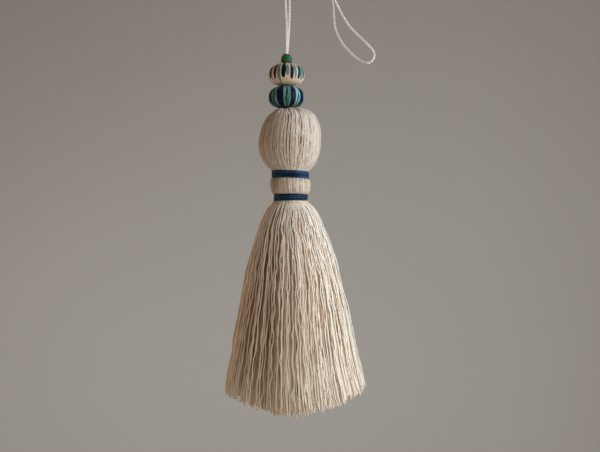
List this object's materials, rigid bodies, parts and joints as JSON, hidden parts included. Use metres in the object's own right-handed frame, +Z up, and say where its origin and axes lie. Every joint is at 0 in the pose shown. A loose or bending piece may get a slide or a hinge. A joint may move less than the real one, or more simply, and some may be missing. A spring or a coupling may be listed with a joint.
{
  "type": "tassel",
  "caption": "Yarn tassel with a round bound head, a flared skirt of cut yarns and painted wooden beads on a doubled hanging cord.",
  "frame": {"origin": "the point where a hand, hook or knob holds both runs of the hanging cord, straight above the beads", "axes": "+Z up along the hanging tassel, +X to the side where the slack end of the cord's loop falls, -Y towards the viewer"},
  "size_m": [0.1053, 0.1026, 0.3042],
  "materials": {
    "cotton_cord": "fine white twisted cotton cord",
    "cotton_yarn": "matt ivory cotton yarn",
    "navy_thread": "smooth navy thread with a soft sheen",
    "green_paint": "matt green paint on a turned wooden bead",
    "cream_paint": "satin pale wood with hand-painted navy and green strokes",
    "teal_paint": "satin teal paint with navy stripes on a turned wooden bead"
  },
  "bodies": {
    "root": {"hang_cord": "cotton_cord", "bead_green": "green_paint", "bead_cream": "cream_paint", "bead_teal": "teal_paint", "yarn_hank": "cotton_yarn", "binding_upper": "navy_thread", "binding_lower": "navy_thread"}
  },
  "joints": []
}
